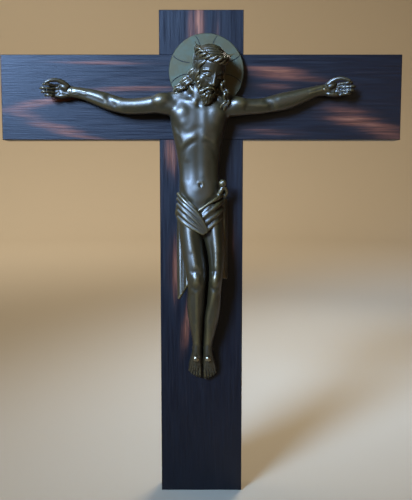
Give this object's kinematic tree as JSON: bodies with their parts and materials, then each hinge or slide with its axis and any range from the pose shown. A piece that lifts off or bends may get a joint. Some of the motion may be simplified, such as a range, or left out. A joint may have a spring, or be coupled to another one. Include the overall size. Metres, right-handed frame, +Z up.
{
  "type": "wall crucifix",
  "caption": "Wall crucifix: a cross-lapped dark wooden cross with a cast bronze figure, a round halo, a crown of thorns, nails and a recessed keyhole hanger.",
  "frame": {"origin": "centre of the crossing on the back face, which lies on the wall", "axes": "+Z up along the stile, -Y out of the front towards the viewer, +X to the viewer's right"},
  "size_m": [0.324, 0.0578, 0.4],
  "materials": {
    "wood": "satin oiled macassar ebony",
    "figure_bronze": "brown patinated cast bronze, waxed",
    "halo_bronze": "grey-green patinated bronze with a rubbed rim",
    "nail_bronze": "polished on the heads",
    "hanger_steel": "zinc plated"
  },
  "bodies": {
    "root": {"stile": "wood", "crossbar": "wood", "corpus_body": "figure_bronze", "arm_right": "figure_bronze", "arm_left": "figure_bronze", "crown_of_thorns": "figure_bronze", "halo": "halo_bronze", "halo_rivet": "nail_bronze", "hand_nails": "nail_bronze", "foot_nails": "nail_bronze", "keyhole_plate": "hanger_steel", "keyhole_screws": "hanger_steel"}
  },
  "joints": []
}
